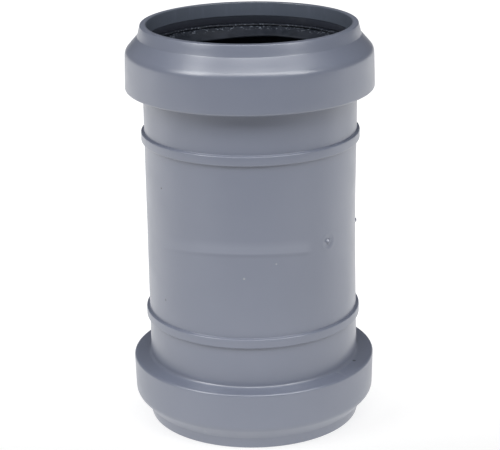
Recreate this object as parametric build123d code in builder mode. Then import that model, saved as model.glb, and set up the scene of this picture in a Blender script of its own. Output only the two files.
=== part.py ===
"""Push fit coupling for 50 mm waste pipe: a grey moulded body with a socket at each end,
and a black lip seal in the groove of each socket.

Millimetres. The origin is on the pipe axis, level with the middle of the centre stop,
and +Z runs along the axis to the upper socket. The two ends are mirror images.
"""
import os

from build123d import *

# Driving dimensions: overall
coupling_length = 104.0
pipe_diameter = 50.0
pipe_clearance = 0.4            # radial gap between the pipe and the socket wall
mouth_clearance = 0.75          # radial gap between the pipe and the mouth wall above the seal

# Tube between the collars
tube_wall = 1.75
tube_draft = 0.24               # radius lost from the collar to the middle
stop_height = 2.2               # how far the centre stop stands into the bore
stop_width = 2.0
stop_edge_radius = 0.4

# Mouth rim
rim_height = 2.95
rim_wall = 1.58                 # at the end face
rim_flare = 0.75                # radius gained from the end face down to the cone
rim_edge_radius = 0.35
rim_foot_radius = 0.5
mouth_wall_length = 3.5         # from the end face down to the seal groove
mouth_edge_radius = 0.2

# Collar around the seal groove
cone_angle = 41.5               # between the cone and the pipe axis
groove_depth = 4.1              # radial, from the socket wall
groove_floor_depth = 14.4       # from the end face
collar_wall = 2.08
collar_draft = 0.26             # radius lost from the shoulder up to the cone
shoulder_wall = 1.98            # between the groove floor and the shoulder
collar_cone_radius = 2.6
collar_shoulder_radius = 0.6
shoulder_root_radius = 0.8
bore_entry_radius = 0.5

# Ribs around the tube
rib_setback = 10.8              # from the shoulder to the near face of the rib
rib_width = 2.5
rib_height = 0.78
rib_edge_radius = 0.35
rib_root_radius = 0.2

# Lip seal
seal_gap = 0.05                 # between the seal and the wall and cone of its groove
seal_nose_drop = 2.25           # from the mouth wall's lower edge to the top of the seal
seal_nose_width = 1.7
seal_nose_radius = 0.35
seal_back_width = 2.65          # radial width of the seal behind the lip
crevice_width = 0.3             # slit between the nose and the lip
crevice_depth = 0.7
crevice_drop = 0.45             # from the top of the nose to the slit
lip_squeeze = 1.7               # how far the relaxed lip stands inside the pipe's surface
lip_drop = 2.65                 # from the top of the nose to the lip's edge
lip_edge = 0.4                  # thickness of the lip at its edge
lip_root = 2.0                  # thickness of the lip where it leaves the ring
lip_edge_radius = 0.15
heel_height = 1.0               # flange of the seal that stands on the groove floor
heel_gap = 0.5                  # radial gap between the heel and the line of the socket wall

# Radii and heights that follow from them
half_length = coupling_length / 2
pipe_radius = pipe_diameter / 2
socket_radius = pipe_radius + pipe_clearance
mouth_radius = pipe_radius + mouth_clearance
tube_radius = socket_radius + tube_wall
waist_radius = tube_radius - tube_draft
stop_radius = socket_radius - stop_height
stop_top = stop_width / 2

cone_run = Vector(1, 0).rotate(Axis.Z, cone_angle)      # X along the axis, Y away from it
cone_slope = cone_run.X / cone_run.Y                    # drop for each millimetre outwards

rim_end_radius = mouth_radius + rim_wall
rim_foot = half_length - rim_height
rim_foot_outer = rim_end_radius + rim_flare
groove_radius = socket_radius + groove_depth
collar_radius = groove_radius + collar_wall
collar_top_radius = collar_radius - collar_draft
collar_top = rim_foot - (collar_top_radius - rim_foot_outer) * cone_slope
groove_floor = half_length - groove_floor_depth
shoulder = groove_floor - shoulder_wall
mouth_wall_end = half_length - mouth_wall_length
groove_top = mouth_wall_end - (groove_radius - mouth_radius) * cone_slope

rib_top = shoulder - rib_setback
rib_bottom = rib_top - rib_width


def radius_of_tube(height):
    """Outer radius of the drafted tube at a height above the centre stop."""
    return waist_radius + tube_draft * height / shoulder


rib_radius = radius_of_tube(rib_top) + rib_height


def rings(part, radius, height):
    """The circular edges of a part that have this radius at this height."""
    return part.edges().filter_by(GeomType.CIRCLE).filter_by(
        lambda edge: abs(edge.radius - radius) < 0.001 and abs(edge.arc_center.Z - height) < 0.001
    )


# Body: one moulding, drawn as its upper half and mirrored
with BuildPart() as coupling_body:
    with BuildSketch(Plane.XZ):
        with BuildLine():
            Polyline(
                (mouth_radius, half_length),
                (rim_end_radius, half_length),
                (rim_foot_outer, rim_foot),
                (collar_top_radius, collar_top),
                (collar_radius, shoulder),
                (tube_radius, shoulder),
                (waist_radius, 0),
                (stop_radius, 0),
                (stop_radius, stop_top),
                (socket_radius, stop_top),
                (socket_radius, groove_floor),
                (groove_radius, groove_floor),
                (groove_radius, groove_top),
                (mouth_radius, mouth_wall_end),
                close=True,
            )
        make_face()
    revolve(axis=Axis.Z)

    with BuildSketch(Plane.XY.offset(rib_bottom)):
        Circle(rib_radius)
        Circle(socket_radius + tube_wall / 2, mode=Mode.SUBTRACT)
    extrude(amount=rib_width)

    for radius, height, rounding in (
        (mouth_radius, half_length, mouth_edge_radius),
        (rim_end_radius, half_length, rim_edge_radius),
        (rim_foot_outer, rim_foot, rim_foot_radius),
        (collar_top_radius, collar_top, collar_cone_radius),
        (collar_radius, shoulder, collar_shoulder_radius),
        (tube_radius, shoulder, shoulder_root_radius),
        (rib_radius, rib_top, rib_edge_radius),
        (rib_radius, rib_bottom, rib_edge_radius),
        (radius_of_tube(rib_top), rib_top, rib_root_radius),
        (radius_of_tube(rib_bottom), rib_bottom, rib_root_radius),
        (stop_radius, stop_top, stop_edge_radius),
        (socket_radius, groove_floor, bore_entry_radius),
    ):
        fillet(rings(coupling_body, radius, height), rounding)

    mirror(about=Plane.XY)

coupling_body.part.label = "coupling_body"


def lip_seal(side):
    """Seal ring of the upper socket (side 1) or the lower one (side -1)."""
    outer_radius = groove_radius - seal_gap
    outer_top = groove_top - seal_gap * (1 + cone_slope)
    nose_top = mouth_wall_end - seal_nose_drop
    nose_outer_radius = outer_radius - (nose_top - outer_top) / cone_slope
    nose_inner_radius = nose_outer_radius - seal_nose_width
    slit_top = nose_top - crevice_drop
    slit_bottom = slit_top - crevice_width
    back_radius = outer_radius - seal_back_width
    lip_radius = pipe_radius - lip_squeeze
    lip_top = nose_top - lip_drop
    lip_slope = (slit_bottom - lip_top) / (nose_inner_radius - lip_radius)
    lip_root_top = slit_bottom + (back_radius - nose_inner_radius) * lip_slope
    heel_top = groove_floor + heel_height
    heel_radius = socket_radius + heel_gap

    with BuildPart() as ring:
        with BuildSketch(Plane.XZ) as section:
            with BuildLine():
                Polyline(
                    (outer_radius, side * groove_floor),
                    (outer_radius, side * outer_top),
                    (nose_outer_radius, side * nose_top),
                    (nose_inner_radius, side * nose_top),
                    (nose_inner_radius, side * slit_top),
                    (nose_inner_radius + crevice_depth, side * (slit_top - crevice_width / 2)),
                    (nose_inner_radius, side * slit_bottom),
                    (lip_radius, side * lip_top),
                    (lip_radius, side * (lip_top - lip_edge)),
                    (back_radius, side * (lip_root_top - lip_root)),
                    (back_radius, side * heel_top),
                    (heel_radius, side * heel_top),
                    (heel_radius, side * groove_floor),
                    close=True,
                )
            make_face()
            fillet(section.vertices().group_by(Axis.X)[0], lip_edge_radius)
            nose_end = -1 if side > 0 else 0
            fillet(section.vertices().group_by(Axis.Y)[nose_end], seal_nose_radius)
        revolve(axis=Axis.Z)
    return ring


seal_ring_upper = lip_seal(side=1)
seal_ring_upper.part.label = "seal_ring_upper"

seal_ring_lower = lip_seal(side=-1)
seal_ring_lower.part.label = "seal_ring_lower"

os.makedirs("parts", exist_ok=True)
export_step(coupling_body.part, "parts/coupling_body.step")
export_step(seal_ring_upper.part, "parts/seal_ring_upper.step")
export_step(seal_ring_lower.part, "parts/seal_ring_lower.step")
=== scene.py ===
"""Looks of the push fit coupling: a satin grey moulded body with a black, lubricated lip seal
in each socket, standing on one end on a pale floor.

Metres, in the frame of the CAD model: the origin is on the pipe axis at the centre stop, and
+Z is the pipe axis. Azimuths are in degrees round that axis, 0 at the front (-Y), 90 at +X.
"""
import math

import bpy
import numpy as np
from mathutils import Matrix, Vector


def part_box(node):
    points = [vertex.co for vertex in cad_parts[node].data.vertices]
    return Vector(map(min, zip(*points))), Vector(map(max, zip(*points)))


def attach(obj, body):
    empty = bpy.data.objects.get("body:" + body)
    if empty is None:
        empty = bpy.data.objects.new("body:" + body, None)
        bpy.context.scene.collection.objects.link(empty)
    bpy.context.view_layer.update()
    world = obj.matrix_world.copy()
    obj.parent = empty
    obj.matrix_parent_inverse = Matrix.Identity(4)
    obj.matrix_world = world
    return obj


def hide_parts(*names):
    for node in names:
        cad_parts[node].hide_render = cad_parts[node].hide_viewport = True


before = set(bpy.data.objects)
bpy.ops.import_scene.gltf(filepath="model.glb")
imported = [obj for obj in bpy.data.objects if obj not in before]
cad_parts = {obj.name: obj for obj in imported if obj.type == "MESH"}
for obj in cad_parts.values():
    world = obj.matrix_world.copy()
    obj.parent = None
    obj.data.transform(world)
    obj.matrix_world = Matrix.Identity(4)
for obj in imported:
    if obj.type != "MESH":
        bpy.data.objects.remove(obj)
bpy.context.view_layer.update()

MM = 0.001

SEAL_GAP = 0.05 * MM            # between a seal and the wall and cone of its groove

# Overall sizes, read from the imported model
HALF_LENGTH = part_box("coupling_body")[1].z
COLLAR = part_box("coupling_body")[1].y
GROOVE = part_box("seal_ring_upper")[1].y + SEAL_GAP
GROOVE_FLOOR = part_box("seal_ring_upper")[0].z
NOSE_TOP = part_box("seal_ring_upper")[1].z

# Radii of the body
MOUTH = 25.75 * MM
SOCKET = 25.4 * MM
STOP = 23.2 * MM
RIM_END = 27.33 * MM
RIM_FOOT = 28.08 * MM
COLLAR_TOP = COLLAR - 0.26 * MM
TUBE = 27.15 * MM
WAIST = 26.91 * MM
RIB = 27.86 * MM

# Heights above the centre stop
SHOULDER = GROOVE_FLOOR - 1.98 * MM
RIM_FOOT_Z = HALF_LENGTH - 2.95 * MM
MOUTH_WALL_END = HALF_LENGTH - 3.5 * MM
CONE_SLOPE = 1.0 / math.tan(math.radians(41.5))
COLLAR_TOP_Z = RIM_FOOT_Z - (COLLAR_TOP - RIM_FOOT) * CONE_SLOPE
GROOVE_TOP_Z = MOUTH_WALL_END - (GROOVE - MOUTH) * CONE_SLOPE
RIB_TOP = SHOULDER - 10.8 * MM
RIB_BOTTOM = RIB_TOP - 2.5 * MM
STOP_TOP = 1.0 * MM

# Seals
SEAL_OUTER = GROOVE - SEAL_GAP
SEAL_TOP_Z = GROOVE_TOP_Z - SEAL_GAP * (1 + CONE_SLOPE)
NOSE_OUTER = SEAL_OUTER - (NOSE_TOP - SEAL_TOP_Z) / CONE_SLOPE
NOSE_INNER = NOSE_OUTER - 1.7 * MM
SLIT_TOP = NOSE_TOP - 0.45 * MM
SLIT_BOTTOM = SLIT_TOP - 0.3 * MM
LIP = 23.3 * MM
LIP_TOP = NOSE_TOP - 2.65 * MM
SEAL_BACK = SEAL_OUTER - 2.65 * MM
HEEL = SOCKET + 0.5 * MM
HEEL_TOP_Z = GROOVE_FLOOR + 1.0 * MM
LIP_EDGE = 0.4 * MM             # thickness of the lip at its edge
LIP_ROOT = 2.0 * MM             # thickness of the lip where it leaves the ring
LIP_REACH = 3.5 * MM            # the lip lies within this of the slit

# Crease round the front of the tube, a flow line of the moulding
CREASE_CENTRE = -5              # azimuth where the crease is highest
CREASE_TOP = -0.2 * MM
CREASE_FALL = 7.2e-4 * MM       # drop of the crease for each degree squared from there
CREASE_END = (34, 39)           # degrees from its centre over which it ends on the right
CREASE_SWELL = 0.08 * MM        # height of its ridge
CREASE_CUT = 0.03 * MM          # depth of the thin line along the ridge

FLOOR_GAP = 0.01 * MM           # keeps the floor off the face of the lower rim

# Painted pool of light: light the floor gives off by itself, under and beside the coupling, and the extra
# behind it
GLOW_NEAR = 0.55
GLOW_BEHIND = 0.45
NEAR_FADE = (-270 * MM, -160 * MM)      # Y over which the near glow rises, from the front
BEHIND_FADE = (-60 * MM, 60 * MM)       # Y over which the extra one does
SURROUNDINGS = 0.08             # strength of the even world light


# ---------------------------------------------------------------- camera

def make_camera():
    """The photograph's view: from the front, a little above, with a long lens."""
    distance = 442.9 * MM
    elevation = math.radians(18.06)
    pan, tilt, roll = (math.radians(a) for a in (-0.07, -18.24, -0.87))
    forward = Vector((math.sin(pan) * math.cos(tilt), math.cos(pan) * math.cos(tilt), math.sin(tilt)))
    level_right = Vector((math.cos(pan), -math.sin(pan), 0))
    level_up = level_right.cross(forward)
    right = level_right * math.cos(roll) + level_up * math.sin(roll)
    up = right.cross(forward)

    data = bpy.data.cameras.new("camera")
    data.sensor_width = 36.0
    data.lens = 122.98
    data.clip_start = 0.01
    camera = bpy.data.objects.new("camera", data)
    camera.matrix_world = Matrix((right, up, -forward)).transposed().to_4x4()
    camera.location = (0, -distance * math.cos(elevation), distance * math.sin(elevation))
    bpy.context.scene.collection.objects.link(camera)
    bpy.context.scene.camera = camera


# ---------------------------------------------------------------- stage and light

LIGHT_DISTANCE = 1.20
FLOOR_HALF = 3.0


def area_light(name, azimuth, elevation, size, power):
    """A soft rectangular light in a direction from the origin, facing it."""
    data = bpy.data.lights.new(name, "AREA")
    data.shape = "RECTANGLE"
    data.size, data.size_y = size
    data.energy = power
    a, e = math.radians(azimuth), math.radians(elevation)
    away = Vector((math.sin(a) * math.cos(e), -math.cos(a) * math.cos(e), math.sin(e)))
    light = bpy.data.objects.new(name, data)
    light.location = away * LIGHT_DISTANCE
    light.rotation_mode = "QUATERNION"
    light.rotation_quaternion = away.to_track_quat("Z", "Y")
    bpy.context.scene.collection.objects.link(light)


def glowing_floor():
    """Matt floor that gives off some light, a painted pool of light, except well in front of the coupling.
    """
    n = Nodes("glowing_floor")
    split = n.add("ShaderNodeSeparateXYZ")
    n.link(n.coordinate(), split.inputs["Vector"])
    # Painted pool of light: the glow rises from the front towards the coupling, with more behind it
    near = n.range(split.outputs["Y"], *NEAR_FADE, 0.0, GLOW_NEAR)
    far = n.range(split.outputs["Y"], *BEHIND_FADE, 0.0, GLOW_BEHIND)
    n.link(n.math("ADD", near, far), n.shader.inputs["Emission Strength"])
    n.set(Base_Color=(0.35, 0.35, 0.35, 1), Roughness=0.6, Emission_Color=(1, 1, 1, 1))
    return n.material


def make_stage():
    """Floor glowing in a painted pool of light, dim even surroundings and soft boxes in front, above and on
    both sides.
    """
    floor_mesh = bpy.data.meshes.new("floor")
    signs = ((-1, -1), (1, -1), (1, 1), (-1, 1))
    floor_mesh.from_pydata([(x * FLOOR_HALF, y * FLOOR_HALF, 0) for x, y in signs], [], [(0, 1, 2, 3)])
    floor_mesh.materials.append(glowing_floor())
    floor = bpy.data.objects.new("floor", floor_mesh)
    floor.location.z = -HALF_LENGTH - FLOOR_GAP
    bpy.context.scene.collection.objects.link(floor)

    world = bpy.data.worlds.new("studio")
    world.use_nodes = True
    background = world.node_tree.nodes["Background"]
    background.inputs["Color"].default_value = (1, 1, 1, 1)
    background.inputs["Strength"].default_value = SURROUNDINGS
    bpy.context.scene.world = world

    area_light("box_left", -57, 30, (0.45, 0.28), 2.9)
    area_light("box_right", 50, 30, (0.40, 0.28), 2.1)
    area_light("high_left", -56, 46, (0.50, 0.40), 3.3)
    area_light("high_front", 0, 50, (0.90, 0.44), 4.4)
    area_light("high_right", 40, 46, (0.50, 0.40), 2.75)
    area_light("side_left", -88, 60, (0.50, 0.34), 0.9)
    area_light("side_right", 74, 60, (0.50, 0.34), 0.8)
    area_light("top_front", 0, 64, (0.70, 0.22), 1.1)


# ---------------------------------------------------------------- materials

class Nodes:
    """Short hand for building one material's node tree."""

    def __init__(self, name):
        self.material = bpy.data.materials.new(name)
        self.material.use_nodes = True
        self.tree = self.material.node_tree
        self.shader = self.tree.nodes["Principled BSDF"]

    def add(self, kind, **settings):
        node = self.tree.nodes.new(kind)
        for key, value in settings.items():
            setattr(node, key, value)
        return node

    def link(self, source, target):
        self.tree.links.new(source, target)

    def set(self, **values):
        """Sets constants on the shader's own sockets; underscores stand for spaces."""
        for key, value in values.items():
            self.shader.inputs[key.replace("_", " ")].default_value = value

    def coordinate(self):
        return self.add("ShaderNodeTexCoord").outputs["Object"]

    def noise(self, vector, scale, detail=2.0, roughness=0.5):
        node = self.add("ShaderNodeTexNoise")
        node.inputs["Scale"].default_value = scale
        node.inputs["Detail"].default_value = detail
        node.inputs["Roughness"].default_value = roughness
        self.link(vector, node.inputs["Vector"])
        return node.outputs["Fac"]

    def stretched(self, vector, scale):
        node = self.add("ShaderNodeMapping")
        node.inputs["Scale"].default_value = scale
        self.link(vector, node.inputs["Vector"])
        return node.outputs["Vector"]

    def range(self, value, low, high, to_low, to_high):
        node = self.add("ShaderNodeMapRange")
        self.link(value, node.inputs["Value"])
        for key, number in (("From Min", low), ("From Max", high), ("To Min", to_low), ("To Max", to_high)):
            node.inputs[key].default_value = number
        return node.outputs["Result"]

    def math(self, operation, a, b):
        node = self.add("ShaderNodeMath", operation=operation)
        for socket, value in zip(node.inputs, (a, b)):
            if isinstance(value, (int, float)):
                socket.default_value = value
            else:
                self.link(value, socket)
        return node.outputs["Value"]

    def mix(self, factor, a, b):
        node = self.add("ShaderNodeMix", data_type="RGBA")
        self.link(factor, node.inputs["Factor"])
        for key, value in ((6, a), (7, b)):
            if isinstance(value, tuple):
                node.inputs[key].default_value = (*value, 1)
            else:
                self.link(value, node.inputs[key])
        return node.outputs[2]

    def multiply(self, factor, a, b):
        node = self.add("ShaderNodeMix", data_type="RGBA", blend_type="MULTIPLY")
        self.link(factor, node.inputs["Factor"])
        self.link(a, node.inputs[6])
        self.link(b, node.inputs[7])
        return node.outputs[2]

    def radius(self, vector):
        """Distance from the pipe axis."""
        flat = self.add("ShaderNodeVectorMath", operation="MULTIPLY")
        self.link(vector, flat.inputs[0])
        flat.inputs[1].default_value = (1, 1, 0)
        length = self.add("ShaderNodeVectorMath", operation="LENGTH")
        self.link(flat.outputs["Vector"], length.inputs[0])
        return length.outputs["Value"]

    def spot(self, vector, centre, size):
        """1 inside a small ball round a point, with a soft edge."""
        distance = self.add("ShaderNodeVectorMath", operation="DISTANCE")
        self.link(vector, distance.inputs[0])
        distance.inputs[1].default_value = centre
        return self.range(distance.outputs["Value"], size, 0.6 * size, 0.0, 1.0)

    def bump(self, height, distance, strength, normal=None):
        node = self.add("ShaderNodeBump")
        node.inputs["Distance"].default_value = distance
        node.inputs["Strength"].default_value = strength
        self.link(height, node.inputs["Height"])
        if normal is not None:
            self.link(normal, node.inputs["Normal"])
        return node.outputs["Normal"]


def painted_crease_shading(n, place, base):
    """Paints the crease's shading: a paler band, a painted highlight, above a thin darker line, a painted
    shade.

    The real crease is shape. Its ridge is in the mesh too, but this light does not show it.
    """
    split = n.add("ShaderNodeSeparateXYZ")
    n.link(place, split.inputs["Vector"])
    x, y, z = (split.outputs[axis] for axis in "XYZ")
    turn = n.math("ADD", n.math("ARCTAN2", x, n.math("MULTIPLY", y, -1)), math.radians(-CREASE_CENTRE))
    fall = n.math("MULTIPLY", n.math("MULTIPLY", turn, turn), CREASE_FALL * math.degrees(1) ** 2)
    above = n.math("ADD", n.math("SUBTRACT", z, CREASE_TOP), fall)
    start = n.range(turn, math.radians(-55), math.radians(-15), 0.0, 1.0)
    stop = n.range(turn, *(math.radians(end) for end in CREASE_END), 1.0, 0.0)
    near = n.math("MULTIPLY", start, stop)
    top = n.range(above, 1.6 * MM, 3.4 * MM, 1.0, 0.0)
    foot = n.range(above, -0.25 * MM, 0.25 * MM, 0.0, 1.0)
    band = n.math("MULTIPLY", n.math("MULTIPLY", top, foot), near)
    line = n.range(n.math("ABSOLUTE", n.math("ADD", above, 0.5 * MM), 0), 0.0, 0.7 * MM, 1.0, 0.0)
    # Painted highlight: the paler band above the crease
    base = n.mix(band, base, (0.210, 0.230, 0.295))
    # Painted shade: the thin darker line along the crease
    return n.mix(n.math("MULTIPLY", line, near), base, (0.158, 0.176, 0.232))


DARK = (0.030, 0.032, 0.040)
PALE = (0.30, 0.32, 0.36)
MARKS = (                       # small inclusions: azimuth, radius, height, size, colour
    (-55.75, 27.05 * MM, 13.5 * MM, 0.30 * MM, DARK),
    (-55.0, 27.05 * MM, -16.0 * MM, 0.40 * MM, (0.09, 0.10, 0.13)),
    (12.5, 27.0 * MM, -3.0 * MM, 0.28 * MM, PALE),
    (-4.5, 27.0 * MM, -6.5 * MM, 0.35 * MM, PALE),
    (68.5, 28.0 * MM, -35.6 * MM, 0.55 * MM, DARK),
)


def body_plastic():
    """Satin grey polypropylene: faint flow mottling, mould lines, edge rub with a painted edge highlight,
    specks, painted crease shading, painted shade inside.
    """
    n = Nodes("body_plastic_satin")
    place = n.coordinate()
    mottle = n.noise(place, 55, detail=4.0)
    cloud = n.noise(n.stretched(place, (1, 1, 0.35)), 18, detail=2.0)
    base = n.mix(n.range(mottle, 0.3, 0.7, 0.0, 1.0), (0.170, 0.188, 0.246), (0.186, 0.204, 0.264))
    base = n.mix(n.range(cloud, 0.35, 0.65, 0.0, 0.5), base, (0.174, 0.196, 0.262))
    # Paler convex edges: partly rub, partly a painted highlight along the edges
    edge = n.add("ShaderNodeNewGeometry").outputs["Pointiness"]
    wear = n.range(n.noise(place, 260), 0.4, 0.7, 0.0, 0.5)
    edge_rub_and_highlight = n.math("MULTIPLY", n.range(edge, 0.52, 0.60, 0.0, 1.0), wear)
    base = n.mix(edge_rub_and_highlight, base, (0.33, 0.35, 0.39))
    base = painted_crease_shading(n, place, base)
    for azimuth, radius, height, size, colour in MARKS:
        a = math.radians(azimuth)
        spot = (radius * math.sin(a), -radius * math.cos(a), height)
        base = n.mix(n.spot(place, spot, size), base, colour)

    # The inside is the same plastic. It is painted darker, a painted shade in the bore and mouth, only
    # because under these lights it renders too bright; faint streaks are painted less dark.
    inside_shade_mask = n.range(n.radius(place), MOUTH + 0.1 * MM, MOUTH + 0.4 * MM, 1.0, 0.0)
    streak = n.range(n.noise(n.stretched(place, (900, 900, 160)), 1.0, detail=1.0), 0.55, 0.75, 0.0, 0.25)
    shade = n.mix(streak, (0.56, 0.60, 0.60), (0.90, 0.93, 0.93))
    base = n.multiply(inside_shade_mask, base, shade)
    n.link(base, n.shader.inputs["Base Color"])

    rough = n.range(n.noise(place, 140, detail=3.0), 0.3, 0.7, 0.28, 0.36)
    n.link(rough, n.shader.inputs["Roughness"])

    turned = n.noise(n.stretched(place, (20, 20, 2600)), 1.0, detail=2.0)
    peel = n.noise(place, 850, detail=2.0)
    grain = n.noise(place, 5200, detail=2.0)
    normal = n.bump(turned, 0.006 * MM, 0.5)
    normal = n.bump(peel, 0.020 * MM, 0.5, normal)
    normal = n.bump(grain, 0.004 * MM, 0.5, normal)
    n.link(normal, n.shader.inputs["Normal"])
    n.set(IOR=1.6, Specular_IOR_Level=0.95)
    return n.material


def seal_rubber():
    """Black elastomer, rippled where it was moulded, with smears of lubricant at its slit, whose paler
    colour is a painted glint.
    """
    n = Nodes("seal_rubber_satin")
    place = n.coordinate()
    patch = n.noise(place, 420, detail=3.0)
    base = n.mix(n.range(patch, 0.35, 0.7, 0.0, 1.0), (0.009, 0.012, 0.019), (0.016, 0.020, 0.030))
    from_slit = n.math("ABSOLUTE", n.math("SUBTRACT", n.radius(place), NOSE_INNER - 0.2 * MM), 0)
    slit = n.range(from_slit, 0.0, 0.9 * MM, 1.0, 0.0)
    # Lubricant smears at the slit: glossier and bumpy, with their paler colour a painted glint
    lubricant_and_glint = n.math("MULTIPLY", slit, n.range(n.noise(place, 1500, detail=2.0), 0.56, 0.64, 0.0, 1.0))
    base = n.mix(lubricant_and_glint, base, (0.16, 0.18, 0.22))
    n.link(base, n.shader.inputs["Base Color"])
    rough = n.range(patch, 0.3, 0.7, 0.38, 0.62)
    rough = n.math("SUBTRACT", rough, n.math("MULTIPLY", lubricant_and_glint, 0.25))
    n.link(rough, n.shader.inputs["Roughness"])
    ripple = n.noise(n.stretched(place, (1, 1, 2.2)), 900, detail=3.0)
    normal = n.bump(ripple, 0.12 * MM, 0.7)
    normal = n.bump(lubricant_and_glint, 0.15 * MM, 0.8, normal)
    n.link(normal, n.shader.inputs["Normal"])
    n.set(IOR=1.5, Specular_IOR_Level=0.32)
    return n.material


# ---------------------------------------------------------------- turned shapes

def mirrored(half):
    """A closed outline from its upper half, which starts with a point at height 0."""
    return half + [(r, -z, rounding) for r, z, rounding in reversed(half[1:])]


def rounded(corners, arc_step=math.radians(13)):
    """Points of a closed outline whose corners (r, z, radius) are replaced by arcs."""
    points = []
    count = len(corners)
    for i, (r, z, radius) in enumerate(corners):
        corner = np.array((r, z))
        if radius == 0:
            points.append((r, z))
            continue
        before = np.array(corners[i - 1][:2]) - corner
        after = np.array(corners[(i + 1) % count][:2]) - corner
        before /= np.linalg.norm(before)
        after /= np.linalg.norm(after)
        half_angle = math.acos(max(-1.0, min(1.0, float(before @ after)))) / 2
        turn = math.pi - 2 * half_angle
        bisector = (before + after) / np.linalg.norm(before + after)
        centre = corner + bisector * radius / math.sin(half_angle)
        start = corner + before * radius / math.tan(half_angle) - centre
        side = before - (before @ bisector) * bisector
        side /= np.linalg.norm(side)
        steps = max(3, math.ceil(turn / arc_step))
        for k in range(steps + 1):
            angle = turn / 2 - turn * k / steps
            arm = math.sin(angle) * side - math.cos(angle) * bisector
            points.append(tuple(centre + radius * arm))
    return points


def divided(points, longest):
    """Adds points along a closed outline, so that no run is longer than longest(r, z)."""
    result = []
    for i, (r0, z0) in enumerate(points):
        r1, z1 = points[(i + 1) % len(points)]
        length = math.hypot(r1 - r0, z1 - z0)
        walked = 0.0
        while walked < length - 1e-9:
            share = walked / length
            r, z = r0 + (r1 - r0) * share, z0 + (z1 - z0) * share
            result.append((r, z))
            parts = max(1, math.ceil((length - walked) / longest(r, z)))
            walked += (length - walked) / parts
    return result


def turned_mesh(name, outline, azimuths, shape):
    """A closed ring turned from an outline; shape(azimuth, r, z) moves its points."""
    outline = np.array(outline)
    rows = len(outline)
    segments = len(azimuths)
    a = np.radians(np.tile(azimuths, rows))
    r = np.repeat(outline[:, 0], segments)
    z = np.repeat(outline[:, 1], segments)
    r, z = shape(np.degrees(a), r, z)
    points = np.stack((r * np.sin(a), -r * np.cos(a), z), axis=1)
    faces = []
    for i in range(rows):
        here, there = i * segments, ((i + 1) % rows) * segments
        for j in range(segments):
            k = (j + 1) % segments
            faces.append((here + j, there + j, there + k, here + k))
    mesh = bpy.data.meshes.new(name)
    mesh.from_pydata(points.tolist(), [], faces)
    mesh.shade_smooth()
    mesh.validate()
    piece = bpy.data.objects.new(name, mesh)
    bpy.context.scene.collection.objects.link(piece)
    return piece


def turn_from(azimuth, centre):
    """Signed degrees from a centre azimuth, from -180 to 180."""
    return (azimuth - centre + 180) % 360 - 180


def smooth_step(low, high, value):
    """0 at low and 1 at high, eased at both; low may be the larger."""
    share = np.clip((value - low) / (high - low), 0, 1)
    return share * share * (3 - 2 * share)


# ---------------------------------------------------------------- body

BOW = 0.20 * MM                 # the middle of the tube stands this far to -X of its ends
MARKS_END = SHOULDER - 0.9 * MM         # the tube's marks fade out at this height
MARKS_FULL = SHOULDER - 4.0 * MM        # and are at full strength below this one
GATE_RADIUS = 2.1 * MM          # of the shallow dimple round each gate stub
GATE_DIMPLE = 0.14 * MM         # depth of the dimple
GATE_RING = 0.045 * MM          # height of the raised ring round it
GATES = ((45, 0.2 * MM, 0.55 * MM), (89, -0.3 * MM, 0.50 * MM))     # azimuth, height, stub length


def body_azimuths():
    """Columns of the body: one every degree and a half, and closer round the gate stubs."""
    columns = {k * 1.5 for k in range(240)}
    for centre, _height, _stub in GATES:
        columns |= {centre + k / 4 for k in range(-18, 19)}
    return np.array(sorted(columns), float)


def body_outline():
    """Section of the body as corners for rounded."""
    upper = [
        (WAIST, 0, 0),
        (WAIST + (TUBE - WAIST) * RIB_BOTTOM / SHOULDER, RIB_BOTTOM, 0.2 * MM),
        (RIB, RIB_BOTTOM, 0.35 * MM),
        (RIB, RIB_TOP, 0.35 * MM),
        (WAIST + (TUBE - WAIST) * RIB_TOP / SHOULDER, RIB_TOP, 0.2 * MM),
        (TUBE, SHOULDER, 0.8 * MM),
        (COLLAR, SHOULDER, 0.6 * MM),
        (COLLAR_TOP, COLLAR_TOP_Z, 2.6 * MM),
        (RIM_FOOT, RIM_FOOT_Z, 0.5 * MM),
        (RIM_END, HALF_LENGTH, 0.35 * MM),
        (MOUTH, HALF_LENGTH, 0.2 * MM),
        (MOUTH, MOUTH_WALL_END, 0.12 * MM),
        (GROOVE, GROOVE_TOP_Z, 0.1 * MM),
        (GROOVE, GROOVE_FLOOR, 0.1 * MM),
        (SOCKET, GROOVE_FLOOR, 0.5 * MM),
        (SOCKET, STOP_TOP, 0.15 * MM),
        (STOP, STOP_TOP, 0.4 * MM),
    ]
    return mirrored(upper)


def body_step(r, z):
    """Longest run of the body's outline: fine outside near the middle, coarse inside."""
    if r < SOCKET + 0.2 * MM and abs(z) < GROOVE_FLOOR:
        return 4.0 * MM
    if r < COLLAR_TOP and abs(z) < 3.0 * MM:
        return 0.19 * MM
    return 2.5 * MM


def gate_distance(azimuth, z, centre, height):
    """Distance from a gate stub along the tube's surface, as a share of its dimple's radius."""
    return np.hypot(np.radians(turn_from(azimuth, centre)) * TUBE, z - height) / GATE_RADIUS


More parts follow.
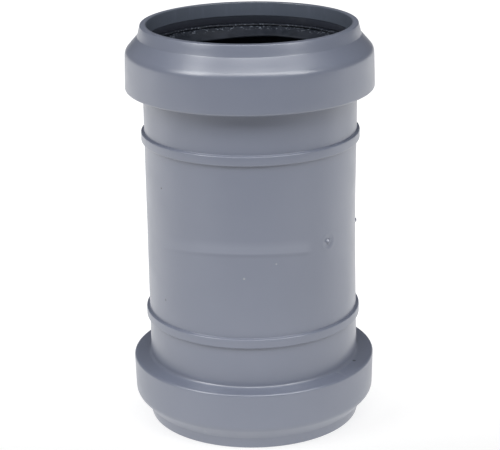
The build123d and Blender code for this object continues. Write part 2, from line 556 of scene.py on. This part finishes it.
def body_shape(azimuth, r, z):
    """Moulding marks of the tube: out-of-round, slight bow, crease and gate stubs."""
    outside = (r > SOCKET + 0.7 * MM) & (np.abs(z) < MARKS_END)
    ease = smooth_step(MARKS_END, MARKS_FULL, np.abs(z)) * outside
    a = np.radians(azimuth)
    wave = 0.020 * np.sin(2 * a + 0.7 + z / MM * 0.02) + 0.010 * np.sin(3 * a + 2.1)
    wave = wave + 0.006 * np.sin(5 * a - z / MM * 0.15)
    bow = BOW * (0.5 + 0.5 * np.cos(math.pi * z / SHOULDER))
    r = r + (wave * MM - bow * np.sin(a)) * ease

    turn = turn_from(azimuth, CREASE_CENTRE)
    above = z - CREASE_TOP + CREASE_FALL * turn ** 2
    near = smooth_step(-52, -24, turn) * (1 - smooth_step(*CREASE_END, turn))
    swell = np.where(above > 0, np.exp(-above / (1.6 * MM)), np.exp(above / (3.0 * MM)))
    crest = np.exp(-((above + 0.10 * MM) / (0.16 * MM)) ** 2)
    r = r + (CREASE_SWELL * swell - CREASE_CUT * crest) * near * ease

    for centre, height, stub in GATES:
        away = gate_distance(azimuth, z, centre, height)
        ring = np.exp(-((away - 1.0) / 0.22) ** 2)
        pit = np.exp(-(away / 0.7) ** 4)
        core = 1 - smooth_step(0.18, 0.30, away * (1 + 0.12 * np.sin(120 * a + z / MM * 5)))
        r = r + (stub * core - GATE_DIMPLE * pit + GATE_RING * ring) * ease
    return r, z


def make_body(material):
    outline = divided(rounded(body_outline()), body_step)
    body = turned_mesh("coupling_body_moulding", outline, body_azimuths(), body_shape)
    body.data.materials.append(material)
    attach(body, "root")
    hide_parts("coupling_body")


# ---------------------------------------------------------------- seals

def seal_outline(side):
    """Section of the upper seal (side 1) or the lower one (side -1), as corners for rounded."""
    lip_slope = (SLIT_BOTTOM - LIP_TOP) / (NOSE_INNER - LIP)
    root_z = SLIT_BOTTOM + (SEAL_BACK - NOSE_INNER) * lip_slope - LIP_ROOT
    corners = [
        (SEAL_OUTER, GROOVE_FLOOR, 0.1 * MM),
        (SEAL_OUTER, SEAL_TOP_Z, 0.2 * MM),
        (NOSE_OUTER, NOSE_TOP, 0.35 * MM),
        (NOSE_INNER, NOSE_TOP, 0.35 * MM),
        (NOSE_INNER, SLIT_TOP, 0.08 * MM),
        (NOSE_INNER + 0.7 * MM, (SLIT_TOP + SLIT_BOTTOM) / 2, 0.03 * MM),
        (NOSE_INNER, SLIT_BOTTOM, 0.12 * MM),
        (LIP, LIP_TOP, 0.12 * MM),
        (LIP, LIP_TOP - LIP_EDGE, 0.15 * MM),
        (SEAL_BACK, root_z, 0.4 * MM),
        (SEAL_BACK, HEEL_TOP_Z, 0.2 * MM),
        (HEEL, HEEL_TOP_Z, 0.15 * MM),
        (HEEL, GROOVE_FLOOR, 0.1 * MM),
    ]
    outline = [(r, side * z, rounding) for r, z, rounding in corners]
    return outline if side > 0 else outline[::-1]


def seal_shape(side, phase):
    """Soft waves of a seal's lip and nose, for turned_mesh."""

    def shape(azimuth, r, z):
        a = np.radians(azimuth)
        height = side * z
        lip = smooth_step(NOSE_INNER, LIP, r) * (height > SLIT_BOTTOM - LIP_REACH)
        sag = 0.12 - 0.52 * np.exp(-(turn_from(azimuth, 206 + phase) / 22) ** 2)
        sag = sag + 0.05 * np.sin(7 * a + phase) + 0.03 * np.sin(11 * a + 2 + phase)
        nose = smooth_step(SLIT_TOP - 0.1 * MM, NOSE_TOP, height) * (r < NOSE_OUTER)
        ruck = 0.10 * np.sin(5 * a + 1 + phase) + 0.07 * np.sin(13 * a + phase) + 0.05 * np.sin(23 * a + 3)
        z = z + side * MM * (sag * lip + 0.6 * np.minimum(ruck, 0) * nose)
        r = r - MM * ruck * nose * 0.8
        return r, z

    return shape


def make_seal(name, side, phase, material):
    """A seal ring; phase turns its waves, so that the two seals differ."""

    def step(r, z):
        return 0.35 * MM if r < NOSE_OUTER and side * z > SLIT_BOTTOM - LIP_REACH else 1.5 * MM

    outline = divided(rounded(seal_outline(side), math.radians(15)), step)
    seal = turned_mesh(name + "_moulding", outline, np.arange(0, 360, 1.0), seal_shape(side, phase))
    seal.data.materials.append(material)
    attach(seal, "root")
    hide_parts(name)


# ---------------------------------------------------------------- making

make_camera()
make_stage()
bpy.context.scene.view_settings.view_transform = "Standard"

plastic = body_plastic()
rubber = seal_rubber()
make_body(plastic)
make_seal("seal_ring_upper", 1, 0, rubber)
make_seal("seal_ring_lower", -1, 75, rubber)
